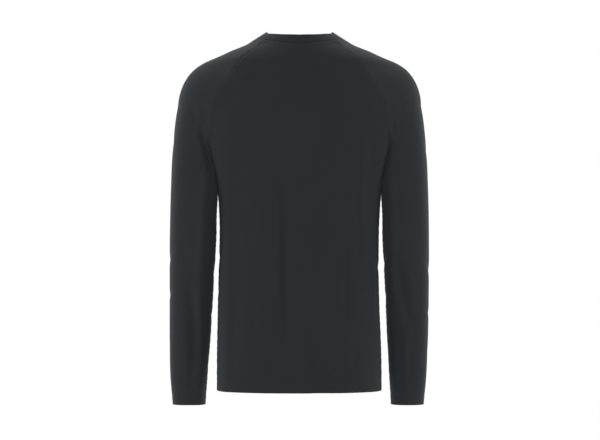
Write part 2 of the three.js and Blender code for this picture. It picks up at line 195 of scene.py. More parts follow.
def outsidePressed(p):
    down = smooth((heights["underarm"] - p[..., 2]) / pinch["touchDepth"])
    room = mix(pinch["crotchGap"], pinch["touchGap"], down)
    return -softMin(-outsideSleeve(p), outsideBody(p) - room, meeting["reach"][0])


def swayed(base, part):
    return base + valueAt(sway, "z", part, base[..., 2])[..., None] * np.array([1, 0, 0])


def outward(form, p):
    step = 0.5 * np.eye(3)
    return unit(np.stack([form(p + step[k]) - form(p - step[k]) for k in range(3)], -1))


# Where rays cross a form's surface between two distances, the first inside it and the second outside.
def crossing(form, start, way, inner, outer):
    for _ in range(16):
        middle = (inner + outer) / 2
        out = form(start + way * middle[..., None]) > 0
        outer = np.where(out, middle, outer)
        inner = np.where(out, inner, middle)
    return start + way * ((inner + outer) / 2)[..., None]


def firstExit(form, start, way, step=3.0):
    start = np.broadcast_to(start, way.shape)
    inner = np.zeros(way.shape[:-1])
    going = np.ones(inner.shape, bool)
    while going.any():
        ahead = start[going] + way[going] * (inner[going] + step)[:, None]
        inside = form(ahead) <= 0
        inner[going] += step * inside
        going[going] = inside
    return crossing(form, start, way, inner, inner + step)


def lastExit(form, start, way, within, step=2.0):
    outer = within.copy()
    going = np.ones(outer.shape, bool)
    while going.any():
        behind = start[going] + way[going] * (outer[going] - step)[:, None]
        outside = form(behind) > 0
        outer[going] -= step * outside
        going[going] = outside
    return crossing(form, start, way, outer - step, outer)


# Points of the body's surface at angles seen from above.
def bodyPoints(form, angle, z):
    angle, z = np.broadcast_arrays(np.radians(angle), z)
    centreY = (valueAt(bodyRings, "z", "back", z) - valueAt(bodyRings, "z", "front", z)) / 2
    start = np.stack([0 * z, centreY, z], -1)
    way = np.stack([np.cos(angle), np.sin(angle), 0 * z], -1)
    edge = firstExit(outsideBody, start, way, 6.0)
    if form is outsideBody:
        return edge
    within = np.linalg.norm(edge - start, axis=-1) + valueAt(meeting, "z", "reach", z)
    return lastExit(form, start, way, within)


def opening(share):
    return smooth((share - pinch["from"]) / (pinch["to"] - pinch["from"]))


# The left raglan seam of the back or the front, on the body alone and on body and sleeve joined.
def seamAt(share, half):
    z = valueAt(raglanSeams, "share", half + "Z", share)
    angle = valueAt(raglanSeams, "share", half + "Angle", share) * (1 if half == "back" else -1)
    return {"z": z, "angle": angle, "alone": bodyPoints(outsideBody, angle, z), "joined": bodyPoints(outsideBoth, angle, z)}


# Folds. Each is seen from its side of the garment, where z is its height and place is x, or y on the left
# and right. It pushes the cloth out by height, or in where that is less than 0. Half of its width is reach.
foldRows = [
    # side, from place, from z, to place, to z, bow, reach, height
    ("back", 198, -176, 172, -276, 2, 7, -9),
    ("back", -190, -166, -170, -262, -3, 5, -4.8),
    ("back", 34, -262, 31, -640, 0, 9, -5),
    ("back", -93, -412, -91, -572, 0, 8, -4.2),
    ("back", 137, -200, 142, -690, 2, 10, 4),
    ("back", -125, -190, -128, -500, -2, 6.5, 3.5),
    ("back", 8, -520, -70, -800, 0, 26, -5),
    ("back", 222, -478, 206, -660, 3, 12, -4.6),
    ("back", -184, -420, -218, -580, 4, 13, -4.5),
    ("front", 176, -150, 168, -300, -3, 10, -5),
    ("front", -178, -140, -168, -300, 3, 10, -5),
    ("front", 140, -190, 74, -330, 8, 15, -3),
    ("front", -136, -200, -60, -360, -8, 16, -3),
    ("front", 60, -480, 66, -780, 4, 22, -4),
    ("front", -40, -520, -58, -780, -4, 24, -4),
    ("front", 184, -470, 246, -430, 5, 12, -4.5),
    ("front", -186, -450, -244, -490, 5, 12, -4.5),
    # finer ones, which the solids leave out
    ("back", 151, -190, 153, -780, 0, 15, 5.5),
    ("back", -152, -200, -153, -780, 0, 12, 2.5),
    ("back", 184, -250, 200, -560, -3, 11, 5.5),
    ("back", -176, -240, -188, -540, 2, 10, 5),
    ("back", 198, -500, 203, -790, 0, 10, 3.5),
    ("back", 212, -560, 204, -740, -2, 12, -2.5),
    ("back", -196, -560, -204, -740, 2, 12, -2),
    ("back", 214, -122, 205, -196, 2, 6, -1.3),
    ("back", 190, -128, 184, -200, 2, 5, -1.0),
    ("back", -206, -118, -198, -190, -2, 6, -1.2),
    ("back", -142, -196, -141, -272, 1, 6, -1.4),
    ("back", 152, -205, 146, -330, 2, 5, -1.0),
    ("back", 148, -330, 120, -420, 5, 9, -1.1),
    ("back", -144, -340, -118, -404, -4, 8, -1.0),
    ("back", 96, -470, 88, -640, 2, 9, -1.2),
    ("back", 62, -590, 70, -712, 1, 12, 1.6),
    ("back", -8, -600, -14, -716, 1, 10, 1.4),
    ("back", -108, -600, -112, -716, 1, 9, -1.2),
    ("back", 236, -360, 224, -470, 3, 9, -1.4),
    ("back", 214, -640, 226, -716, 1, 7, -1.2),
    ("back", -232, -540, -222, -700, -3, 8, -1.6),
    ("back", -206, -600, -214, -712, 1, 6, 1.2),
    ("front", 150, -176, 104, -236, 5, 8, -1.6),
    ("front", -150, -184, -98, -262, -6, 9, -1.7),
    ("front", 148, -250, 118, -360, 4, 7, -1.2),
    ("front", -150, -262, -124, -352, -4, 8, -1.1),
    ("front", 24, -300, 18, -470, 3, 10, -1.0),
    ("front", 112, -520, 118, -712, 2, 10, -1.6),
    ("front", -104, -560, -112, -716, 2, 9, -1.4),
    ("front", 8, -600, 2, -716, 1, 9, 1.3),
    ("front", 198, -500, 250, -476, 4, 8, -2.2),
    ("front", 200, -436, 244, -404, 3, 7, -1.6),
    ("front", -200, -478, -250, -520, 4, 8, -2.4),
    ("front", -204, -426, -240, -440, 3, 7, -1.5),
    ("front", 208, -560, 226, -700, 2, 8, -1.4),
    ("front", -212, -580, -230, -708, 2, 8, -1.3),
    ("left", 0, -10, -4, -125, 0, 45, 1.6),
    ("right", 0, -5, -4, -130, 0, 45, 3.6),
    ("left", 16, -180, -20, -260, 5, 10, -1.5),
    ("left", 30, -420, -34, -470, 6, 10, -1.8),
    ("left", 14, -500, -46, -540, 5, 8, -1.4),
    ("left", -30, -600, -56, -716, 3, 8, -1.3),
    ("right", 18, -200, -22, -270, 5, 10, -1.4),
    ("right", 32, -440, -30, -486, 6, 10, -2.0),
    ("right", 6, -540, -48, -572, 5, 8, -1.3),
    ("right", -28, -610, -60, -716, 3, 8, -1.2),
]
foldSides = {"back": (1, 1, 0), "front": (1, -1, 0), "left": (0, 1, 1), "right": (0, -1, 1)}
foldFacing = {"none": 0.25, "full": 0.75}  # a fold fades where the cloth turns away from its side


def foldHeight(p, normal):
    height = np.zeros(p.shape[:-1])
    for side, fromPlace, fromZ, toPlace, toZ, bow, reach, rise in foldRows:
        faceAxis, sign, placeAxis = foldSides[side]
        facing = normal[..., faceAxis] * sign
        shown = smooth((facing - foldFacing["none"]) / (foldFacing["full"] - foldFacing["none"]))
        run, drop = toPlace - fromPlace, toZ - fromZ
        length = math.hypot(run, drop)
        place, z = p[..., placeAxis] - fromPlace, p[..., 2] - fromZ
        share = (place * run + z * drop) / length**2
        aside = (place * drop - z * run) / length
        off = (aside - bow * 4 * share * (1 - share)) / reach
        ends = np.sin(np.pi * np.clip(share, 0, 1)) ** 0.7
        height += rise * shown * ends * (1 - 0.5 * off**2) * np.exp(-(off**2))
    return height


# The cloth and what sewing does to it.
cloth = {
    "wall": 1.0,
    "hemWall": 2.0,
    "hemDepth": 22.0,
    "hemStitchDepth": 20.0,  # needle rows, up from the edge
    "hemDip": 0.35,
    "seamDip": 0.4,  # the cloth sinks into a seam
    "seamDipReach": 1.5,
    "seamRidge": 0.3,  # and swells beside it
    "seamRidgePlace": 4.2,
    "seamRidgeReach": 2.2,
    "pucker": 0.28,
    "puckerReach": 9.0,
    "settleReach": 12.0,  # near the underarm, where arm and body meet, a seam lies plain
    "settleShare": 0.05,
    "edge": 0.001,  # each piece stops short of a seam by this, so that no light comes through
}
edgeSteps = np.array([0, 0.8, 1.6, 2.5, 3.6, 5.2, 7.5, 10.5])
rowSteps = np.array([0, 0.12, 0.45, 1, 2, 3.6, 6, 9, 12.5, 15.5, 17.5, 18.8, 20, 21.2, 22, 22.7, 24.5, 28])
grid = {"bodyColumns": 98, "sleeveColumns": 70, "rowHeight": 4.0, "yokeRows": 62, "samples": 260}


# Distances from an edge at which rows or columns lie: close together near it, then even.
def lowerHeights(low):
    count = int(round((heights["underarm"] - low - rowSteps[-1]) / grid["rowHeight"]))
    return np.concatenate([low + rowSteps[:-1], np.linspace(low + rowSteps[-1], heights["underarm"], count + 1)])


def yokeShares():
    even = np.linspace(0, 1, grid["yokeRows"] + 1)[1:]
    near = 1 - edgeSteps / 240.0
    return np.unique(np.concatenate([even[even < near[-1] - 0.004], near]))


# Spreads each row's points along it, close together near its two ends.
def spreadRows(rows, columns, insets):
    out = []
    for row, inset in zip(rows, insets):
        arc = np.concatenate([[0], np.cumsum(np.linalg.norm(np.diff(row, axis=0), axis=1))])
        length = arc[-1]
        even = np.linspace(edgeSteps[-1], length - edgeSteps[-1], columns)[1:-1]
        places = np.concatenate([edgeSteps, even, length - edgeSteps[::-1]])
        places[0], places[-1] = inset, length - inset
        out.append(np.stack([np.interp(places, arc, row[:, k]) for k in range(3)], -1))
    return np.array(out)


def arcs(points, axis):
    steps = np.linalg.norm(np.diff(points, axis=axis), axis=-1)
    start = np.zeros_like(np.take(steps, [0], axis=axis))
    return np.concatenate([start, np.cumsum(steps, axis=axis)], axis=axis)


# Distance from the nearer side seam, measured square to it.
def fromSides(base):
    along = arcs(base, 1)
    out = []
    for arc, edge, next_ in ((along, base[:, 0], base[:, 3]), (along[:, -1:] - along, base[:, -1], base[:, -4])):
        run = np.gradient(edge, axis=0)
        square = np.linalg.norm(np.cross(unit(run), unit(next_ - edge)), axis=-1)
        out.append(arc * np.clip(square, 0.3, 1)[:, None])
    return np.minimum(*out)


# Makes one cut piece of cloth: its outer and inner surface, and where each spot lies on the flat cut.
def dressed(base, normal, lowRows, lowZ, joined):
    fromSeam = fromSides(base)
    up = arcs(base, 0)
    fromNeck = up[-1] - up
    fromHem = np.broadcast_to((base[:, :1, 2] - lowZ), fromSeam.shape)
    lower = np.arange(len(base))[:, None] < lowRows
    near = np.minimum(fromSeam, fromNeck)

    def bell(distance, reach):
        return np.exp(-((distance / reach) ** 2))

    z = base[..., 2]
    rough = np.sin(z / 2.3 + 1.9 * np.sin(z / 11) + 0.9 * np.sin(z / 29))
    lift = foldHeight(base, normal)
    lift -= cloth["seamDip"] * bell(near, cloth["seamDipReach"])
    lift += cloth["seamRidge"] * bell(near - cloth["seamRidgePlace"], cloth["seamRidgeReach"])
    lift += cloth["pucker"] * rough * bell(fromSeam, cloth["puckerReach"]) * smooth(fromHem / 30)
    lift -= cloth["hemDip"] * bell(fromHem - cloth["hemStitchDepth"], 2.4) * lower
    lift *= mix(smooth(fromSeam / cloth["settleReach"]), 1, joined)

    radius = cloth["hemWall"] / 2
    inRound = np.clip(fromHem, 0, radius)
    shrink = 0.92 * (radius - np.sqrt(np.maximum(0, radius**2 - (radius - inRound) ** 2))) * lower
    wall = np.where((fromHem <= cloth["hemDepth"] + 0.01) & lower, cloth["hemWall"], cloth["wall"])
    outer = base + normal * (lift - shrink)[..., None]
    inner = outer - normal * (wall - 2 * shrink)[..., None]
    across = arcs(base, 1)
    middle = base.shape[1] // 2
    u = across - across[:, -1:] / 2
    v = np.broadcast_to(up[:, middle : middle + 1], u.shape)
    return {"outer": outer, "inner": inner, "normal": normal, "cut": np.stack([u, v], -1), "lowRows": lowRows}


# How far sewing shows at each row: not at all where the two sides of a seam face each other in the armpit.
def plainSeam(lowZ, shares):
    below = smooth((heights["underarm"] - lowZ) / cloth["settleReach"])
    above = smooth((shares - pinch["to"]) / cloth["settleShare"])
    return np.concatenate([below, above])[:, None]


def bodyPanel(half):
    sign = 1 if half == "back" else -1
    across = np.linspace(0, 1, grid["samples"])[None]
    lowZ = lowerHeights(heights["hem"])
    lower = bodyPoints(outsideBody, sign * 180 * across, lowZ[:, None])
    shares = yokeShares()
    seam = seamAt(shares, half)
    seamAngle, seamZ, share = seam["angle"][:, None], seam["z"][:, None], shares[:, None]
    cornerAngle, cornerZ = seam["angle"][-1], seam["z"][-1]
    angle = mix(seamAngle, sign * 180 - seamAngle, across)
    neckAngle = mix(cornerAngle, sign * 180 - cornerAngle, across)
    evenZ = mix(heights["underarm"], neckZ(sign * 90), share)
    even = mix(seamZ, evenZ, np.sin(np.pi * across) ** 0.7)
    z = mix(even, seamZ + neckZ(neckAngle) - cornerZ, smooth(share))
    open_ = opening(share)
    upper = mix(bodyPoints(outsideBody, angle, z), bodyPoints(outsideBoth, angle, z), open_[..., None])
    rows = np.concatenate([lower, upper])
    base = spreadRows(rows, grid["bodyColumns"], np.full(len(rows), cloth["edge"]))
    open_ = np.concatenate([np.zeros(len(lower)), open_[:, 0]])[:, None, None]
    normal = unit(mix(outward(outsideBody, base), outward(outsideBoth, base), open_))
    return dressed(swayed(base, "body"), normal, len(lower), heights["hem"], plainSeam(lowZ, shares))


# Rows of the left sleeve above the underarm point, from its back seam over the arm to its front seam.
def yokeRows(shares, form, ends):
    fan = {column: valueAt(sleeveFan, "share", column, shares) for column in ("x", "y", "z", "tilt")}
    start = np.stack([fan["x"], fan["y"], fan["z"]], -1)
    tilt = np.radians(fan["tilt"])
    nil = 0 * tilt
    out = np.stack([np.cos(tilt), nil, np.sin(tilt)], -1)
    up = np.stack([-np.sin(tilt), nil, np.cos(tilt)], -1)
    turns, slopes = [], []
    for end in ends:
        way = end - start
        forward = (way * out).sum(-1)
        turns.append(np.arctan2(way[:, 1], forward))
        slopes.append((way * up).sum(-1) / np.hypot(forward, way[:, 1]))
    across = np.linspace(0, 1, grid["samples"])[None]
    turn = mix(turns[0][:, None], turns[1][:, None], across)
    back = turn > 0
    slope = np.where(back, slopes[0][:, None], slopes[1][:, None])
    slope = slope * (turn / np.where(back, turns[0][:, None], turns[1][:, None])) ** 2
    side = np.array([0.0, 1.0, 0.0])
    way = out[:, None] * np.cos(turn)[..., None] + side * np.sin(turn)[..., None] + up[:, None] * slope[..., None]
    neckAngle = mix(raglanCorner["back"], -raglanCorner["front"], across)
    neck = bodyPoints(outsideBoth, neckAngle, neckZ(neckAngle))
    follow = smooth((shares - neckFollowShare) / (1 - neckFollowShare))[:, None, None]
    rows = mix(firstExit(form, start[:, None], unit(way)), neck, follow)
    for _ in range(4):
        rows = rows - outward(form, rows) * form(rows)[..., None]
    rows[shares == 1] = neck
    rows[:, 0], rows[:, -1] = ends
    return rows


def sleeveBase():
    lowZ = lowerHeights(heights["cuff"])
    turn = np.pi * (1 - 2 * np.linspace(0, 1, grid["samples"]))[None]
    centre = [valueAt(sleeveRings, "z", column, lowZ) for column in ("centreX", "centreY")]
    start = np.stack([*centre, lowZ], -1)[:, None]
    way = np.broadcast_to(np.stack([np.cos(turn), np.sin(turn), 0 * turn], -1), (len(lowZ), turn.size, 3))
    lower = firstExit(outsidePressed, start, way)
    lower[:, -1] = lower[:, 0]
    shares = yokeShares()
    seams = [seamAt(shares, half) for half in ("back", "front")]
    pressed = shares < pinch["to"]
    joined = shares > pinch["from"]
    alone = [s["alone"] + outward(outsideBody, s["alone"]) * 2 * cloth["edge"] for s in seams]
    upper = np.zeros((len(shares), turn.size, 3))
    upper[pressed] = yokeRows(shares[pressed], outsidePressed, [e[pressed] for e in alone])
    both = yokeRows(shares[joined], outsideBoth, [s["joined"][joined] for s in seams])
    open_ = opening(shares)
    upper[joined] = mix(upper[joined], both, open_[joined][:, None, None])
    rows = np.concatenate([lower, upper])
    insets = np.concatenate([np.zeros(len(lower)), np.full(len(upper), cloth["edge"])])
    base = spreadRows(rows, grid["sleeveColumns"], insets)
    open_ = np.concatenate([np.zeros(len(lower)), open_])[:, None, None]
    normal = unit(mix(outward(outsidePressed, base), outward(outsideBoth, base), open_))
    return base, normal, len(lower), plainSeam(lowZ, shares)


def sleevePanel(side):
    base, normal, lowRows, joined = sleeveShape
    turned = np.array([side, 1.0, 1.0])
    return dressed(swayed(base * turned, "arm"), normal * turned, lowRows, heights["cuff"], joined)


# A closed wall from a grid of outer and inner spots. In the first rows, closed, the last spot is the first.
def wallMesh(name, piece, anticlockwise, closed=0):
    rows, columns = piece["outer"].shape[:2]
    spot = np.arange(rows * columns).reshape(rows, columns)
    merged = spot.copy()
    merged[:closed, -1] = merged[:closed, 0]

    def quads(numbers):
        around = [numbers[:-1, :-1], numbers[:-1, 1:], numbers[1:, 1:], numbers[1:, :-1]]
        return np.stack(around if anticlockwise else around[::-1], -1).reshape(-1, 4)

    faces, corners = quads(merged), quads(spot)
    start, end = faces.ravel(), np.roll(faces, -1, 1).ravel()
    cornerStart, cornerEnd = corners.ravel(), np.roll(corners, -1, 1).ravel()
    size = rows * columns
    open_ = ~np.isin(start * size + end, end * size + start)
    start, end, cornerStart, cornerEnd = (v[open_] for v in (start, end, cornerStart, cornerEnd))
    rim = np.stack([end, start, start + size, end + size], -1)
    rimCorners = np.stack([cornerEnd, cornerStart, cornerStart, cornerEnd], -1)
    allFaces = np.concatenate([faces, faces[:, ::-1] + size, rim])
    allCorners = np.concatenate([corners, corners[:, ::-1], rimCorners])
    points = np.concatenate([piece["outer"].reshape(-1, 3), piece["inner"].reshape(-1, 3)])
    used = np.unique(allFaces)
    number = np.zeros(len(points), int)
    number[used] = np.arange(len(used))
    cut = piece["cut"].reshape(-1, 2)[allCorners.ravel()] * metre
    return plainMesh(name, points[used] * metre, number[allFaces], cut)


def plainMesh(name, points, faces, cut):
    mesh = bpy.data.meshes.new(name)
    mesh.from_pydata(points.tolist(), [], faces.tolist())
    layer = mesh.uv_layers.new(name="cut")
    layer.data.foreach_set("uv", cut.ravel())
    mesh.polygons.foreach_set("use_smooth", np.ones(len(faces), bool))
    mesh.set_sharp_from_angle(angle=math.radians(50))
    mesh.validate()
    piece = bpy.data.objects.new(name, mesh)
    scene.collection.objects.link(piece)
    return piece


# The neck band: a strip folded double, standing on the neck seam.
neckBand = {
    "height": 18.0,
    "wall": 2.2,
    "sideLean": 56.0,
    "backLean": 18.0,
    "frontLean": 40.0,
    "swell": 0.25,
    "rings": 300,
}


def bandPiece():
    angle = np.linspace(0, 360, neckBand["rings"] + 1)
    base = bodyPoints(outsideBoth, angle, neckZ(angle))
    normal = outward(outsideBoth, base)
    foot = base + normal * (foldHeight(base, normal) - cloth["seamDip"] * 0.6)[:, None]
    turn = np.sin(np.radians(angle))
    ends = np.where(turn > 0, neckBand["backLean"], neckBand["frontLean"])
    lean = np.radians(mix(neckBand["sideLean"], ends, turn**2))[:, None]
    flat = unit(foot * np.array([1, 1, 0]))
    up = -flat * np.sin(lean) + np.array([0, 0, 1]) * np.cos(lean)
    out = flat * np.cos(lean) + np.array([0, 0, 1]) * np.sin(lean)
    half = neckBand["wall"] / 2
    rise = np.concatenate([np.array([0, 0.6, 1.5, 3, 6, 9, 12, 14.5]), np.full(7, neckBand["height"] - half)])
    outwardShift = np.concatenate([np.array([-0.35, 0.05, 0.25, 0.35, 0.45, 0.4, 0.2, 0]), np.zeros(7)])
    bend = np.radians(np.linspace(0, 90, 7))
    rise[-7:] = neckBand["height"] - half + half * np.sin(bend)
    outwardShift[-7:] = -half + half * np.cos(bend)
    rows, inner = [], []
    for k in range(len(rise)):
        rows.append(foot + up * (rise[k] + cloth["edge"]) + out * outwardShift[k])
        inner.append(foot + up * (rise[k] + cloth["edge"]) + out * (-2 * half - outwardShift[k] * (k >= 8)))
    outer, inner = np.array(rows), np.array(inner)
    around = arcs(foot[None], 1)[0]
    height = arcs(outer, 0)[:, 0]
    cut = np.stack([np.broadcast_to(around, outer.shape[:2]), np.broadcast_to(height[:, None], outer.shape[:2])], -1)
    return {"outer": outer, "inner": inner, "cut": cut}


print("cloth: working out the form")
sleeveShape = sleeveBase()
panels = {
    "back_cloth": bodyPanel("back"),
    "front_cloth": bodyPanel("front"),
    "left_sleeve_cloth": sleevePanel(1),
    "right_sleeve_cloth": sleevePanel(-1),
}

# The knit: plain jersey, whose wales run up the garment. u and v lie on the flat cut, in metres.
knit = {
    "walePitch": 0.0011,
    "coursePitch": 0.00085,
    "dark": (0.0062, 0.0070, 0.0077, 1),
    "light": (0.0135, 0.0149, 0.0162, 1),
    "depth": 0.00016,
    "bump": 0.55,
    "roughness": 0.82,
    "fuzz": 1.0,  # how evenly the cloth scatters light, also where it turns away
    "sheen": 0.03,
    "sheenRoughness": 0.45,
    "sheenTint": (0.78, 0.82, 0.88, 1),
    "specular": 0.28,
    "variation": 0.45,
}
# Painted light: the sleeves are the same knit as the body, given a lighter colour because they catch more light.
litSleeveKnit = {**knit, "dark": (0.0086, 0.0096, 0.0106, 1), "light": (0.0182, 0.0200, 0.0216, 1)}
bandKnit = {**knit, "walePitch": 0.0014, "coursePitch": 0.0009, "bump": 0.7, "sheen": 0.03}
thread = {"dark": (0.006, 0.0063, 0.0066, 1), "light": (0.014, 0.0145, 0.015, 1), "roughness": 0.6, "twist": 1500.0}


def newMaterial(name):
    material = bpy.data.materials.new(name)
    material.use_nodes = True
    return material, material.node_tree, material.node_tree.nodes["Principled BSDF"]


def calculate(tree, operation, *values):
    node = tree.nodes.new("ShaderNodeMath")
    node.operation = operation
    for socket, value in zip(node.inputs, values):
        if isinstance(value, (int, float)):
            socket.default_value = value
        else:
            tree.links.new(value, socket)
    return node.outputs[0]


def noiseAt(tree, vector, scale, detail=2.0):
    node = tree.nodes.new("ShaderNodeTexNoise")
    node.inputs["Scale"].default_value = scale
    node.inputs["Detail"].default_value = detail
    tree.links.new(vector, node.inputs["Vector"])
    return node.outputs["Fac"]


def colourBetween(tree, factor, dark, light):
    node = tree.nodes.new("ShaderNodeMix")
    node.data_type = "RGBA"
    node.inputs["A"].default_value = dark
    node.inputs["B"].default_value = light
    tree.links.new(factor, node.inputs["Factor"])
    return node.outputs["Result"]


def knitMaterial(name, look):
    material, tree, shader = newMaterial(name)
    cut = tree.nodes.new("ShaderNodeUVMap")
    cut.uv_map = "cut"
    place = tree.nodes.new("ShaderNodeSeparateXYZ")
    tree.links.new(cut.outputs["UV"], place.inputs[0])
    whole = tree.nodes.new("ShaderNodeTexCoord").outputs["Object"]
    uneven = noiseAt(tree, whole, 900.0, 2.0)
    drift = calculate(tree, "MULTIPLY", calculate(tree, "SUBTRACT", noiseAt(tree, whole, 160.0, 1.0), 0.5), 0.35)
    wale = calculate(tree, "ADD", calculate(tree, "DIVIDE", place.outputs["X"], look["walePitch"]), drift)
    course = calculate(tree, "DIVIDE", place.outputs["Y"], look["coursePitch"])
    # 0 in the middle of a wale and 1 between two: each half carries one leg of the loops
    fromMiddle = calculate(tree, "MULTIPLY", calculate(tree, "PINGPONG", wale, 0.5), 2.0)
    leg = calculate(tree, "SUBTRACT", calculate(tree, "MULTIPLY", fromMiddle, 2.0), 1.0)
    leg = calculate(tree, "SUBTRACT", 1.0, calculate(tree, "MULTIPLY", leg, leg))
    slant = calculate(tree, "ADD", course, calculate(tree, "MULTIPLY", fromMiddle, 0.55))
    loop = calculate(tree, "COSINE", calculate(tree, "MULTIPLY", slant, 2 * math.pi))
    loop = calculate(tree, "ADD", 0.6, calculate(tree, "MULTIPLY", loop, 0.4))
    height = calculate(tree, "MULTIPLY", leg, loop)
    height = calculate(tree, "ADD", height, calculate(tree, "MULTIPLY", uneven, 0.35))

    bump = tree.nodes.new("ShaderNodeBump")
    bump.inputs["Strength"].default_value = look["bump"]
    bump.inputs["Distance"].default_value = look["depth"]
    tree.links.new(height, bump.inputs["Height"])
    tree.links.new(bump.outputs["Normal"], shader.inputs["Normal"])

    broad = noiseAt(tree, whole, 14.0, 3.0)
    yarn = noiseAt(tree, whole, 420.0, 2.0)
    # The colour is lighter on the loop tops and darker between them, which is painted shade in the knit's grooves; the
    # yarn and broad noise add random tone.
    shade = calculate(tree, "MULTIPLY", height, 0.32)
    shade = calculate(tree, "ADD", shade, calculate(tree, "MULTIPLY", yarn, look["variation"]))
    shade = calculate(tree, "ADD", shade, calculate(tree, "MULTIPLY", broad, 0.3))
    tree.links.new(colourBetween(tree, shade, look["dark"], look["light"]), shader.inputs["Base Color"])
    rough = calculate(tree, "ADD", look["roughness"] - 0.06, calculate(tree, "MULTIPLY", yarn, 0.12))
    tree.links.new(rough, shader.inputs["Roughness"])
    shader.inputs["Diffuse Roughness"].default_value = look["fuzz"]
    shader.inputs["Specular IOR Level"].default_value = look["specular"]
    shader.inputs["Sheen Weight"].default_value = look["sheen"]
    shader.inputs["Sheen Roughness"].default_value = look["sheenRoughness"]
    shader.inputs["Sheen Tint"].default_value = look["sheenTint"]
    return material


def threadMaterial(name, look):
    material, tree, shader = newMaterial(name)
    whole = tree.nodes.new("ShaderNodeTexCoord").outputs["Object"]
    ply = tree.nodes.new("ShaderNodeTexWave")
    ply.bands_direction = "DIAGONAL"
    ply.inputs["Scale"].default_value = look["twist"] / 3
    ply.inputs["Distortion"].default_value = 1.5
    tree.links.new(whole, ply.inputs["Vector"])
    bump = tree.nodes.new("ShaderNodeBump")
    bump.inputs["Strength"].default_value = 0.4
    bump.inputs["Distance"].default_value = 0.00005
    tree.links.new(ply.outputs["Fac"], bump.inputs["Height"])
    tree.links.new(bump.outputs["Normal"], shader.inputs["Normal"])
    # The thread is painted lighter on the ridges of its ply and darker between them, which is painted shade; the noise
    # adds random tone.
    shade = calculate(tree, "ADD", calculate(tree, "MULTIPLY", ply.outputs["Fac"], 0.4), noiseAt(tree, whole, 300.0))
    tree.links.new(colourBetween(tree, shade, look["dark"], look["light"]), shader.inputs["Base Color"])
    shader.inputs["Roughness"].default_value = look["roughness"]
    shader.inputs["Specular IOR Level"].default_value = 0.3
    return material


charcoalKnit = knitMaterial("charcoalKnit", knit)
charcoalSleeveLit = knitMaterial("charcoalSleeveLit", litSleeveKnit)
charcoalBand = knitMaterial("charcoalBand", bandKnit)
charcoalThread = threadMaterial("charcoalThread", thread)


# Each piece of cloth: the solid that it stands for, the flat cut of what shows, in metres, and its area.
pieces = {
    "back_cloth": {"node": "back_panel", "flat": (0.478, 0.711), "area": 0.285, "rests": ["neck_band_cloth"]},
    "front_cloth": {"node": "front_panel", "flat": (0.478, 0.675), "area": 0.264, "rests": ["neck_band_cloth"]},
    "left_sleeve_cloth": {"node": "left_sleeve", "flat": (0.336, 0.83), "area": 0.207, "rests": ["neck_band_cloth"]},
    "right_sleeve_cloth": {"node": "right_sleeve", "flat": (0.336, 0.83), "area": 0.207, "rests": ["neck_band_cloth"]},
    "neck_band_cloth": {"node": "neck_band", "flat": (0.6, 0.0188), "area": None, "rests": []},
}


def finishPiece(piece, material):
    piece.data.materials.clear()
    piece.data.materials.append(material)
    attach(piece, "root")
    return piece


made = {}
for name, panel in panels.items():
    anticlockwise = name in ("back_cloth", "right_sleeve_cloth")
    closed = panel["lowRows"] if "sleeve" in name else 0
    material = charcoalSleeveLit if "sleeve" in name else charcoalKnit
    made[name] = finishPiece(wallMesh(name, panel, anticlockwise, closed), material)
band = bandPiece()
made["neck_band_cloth"] = finishPiece(
    wallMesh("neck_band_cloth", band, False, len(band["outer"])), charcoalBand
)
for name, piece in made.items():
    faces = sum(len(p.vertices) - 2 for p in piece.data.polygons)
    area = sum(p.area for p in piece.data.polygons)
    print("cloth:", name, faces, "triangles, half its surface", round(area / 2, 4))


# The sewing. A path runs along a seam on the outside of the cloth, and a tree of nodes lays its stitches.
sewing = {
    "flat": {"Stitch length": 2.6, "Row spacing": 3.6, "Thread thickness": 0.42, "Sink": 0.3, "Crossing": True},
    "cover": {"Stitch length": 3.0, "Row spacing": 5.0, "Thread thickness": 0.4, "Sink": 0.34, "Crossing": False},
    "rise": 0.05,
}


